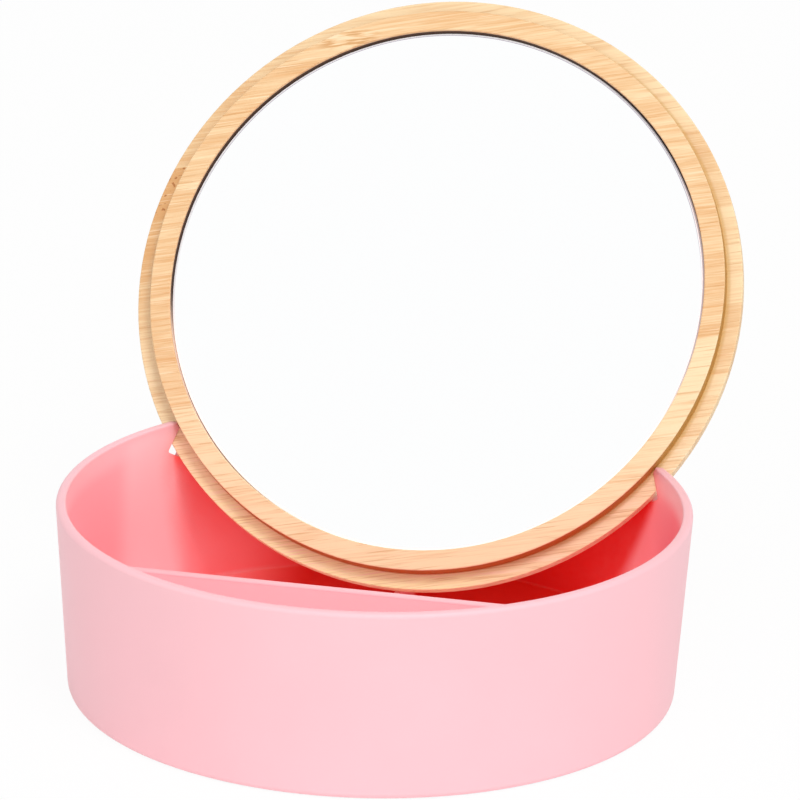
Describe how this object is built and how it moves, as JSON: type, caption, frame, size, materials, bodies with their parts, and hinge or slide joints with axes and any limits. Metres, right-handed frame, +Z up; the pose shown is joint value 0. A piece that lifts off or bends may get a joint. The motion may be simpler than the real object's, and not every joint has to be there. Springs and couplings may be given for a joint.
{
  "type": "makeup organizer",
  "caption": "Round makeup organizer: a tapered tray with a low partition, and a lift-off bamboo lid with a mirror that stands leaning in slots in the rim.",
  "frame": {"origin": "on the table, under the centre of the round box", "axes": "+Z up; +Y towards the back, where the standing lid leans; +X to the right as seen from the front"},
  "size_m": [0.2004, 0.2451, 0.1875],
  "materials": {
    "pink_plastic": "smooth satin",
    "bamboo": "sanded, thin clear lacquer",
    "mirror_glass": "silvered glass, ground edge",
    "foam_tape": "white closed-cell foam, adhesive on both faces"
  },
  "bodies": {
    "box": {"box": "pink_plastic"},
    "lid": {"lid_board": "bamboo", "mirror": "mirror_glass", "tape_strip_upper": "foam_tape", "tape_strip_middle": "foam_tape", "tape_strip_lower": "foam_tape"}
  },
  "joints": [
    {"name": "lid_lift", "type": "slide", "parent": "box", "child": "lid", "axis": [0, 0.549, 0.8358], "range_m": [0, 0.075]}
  ]
}
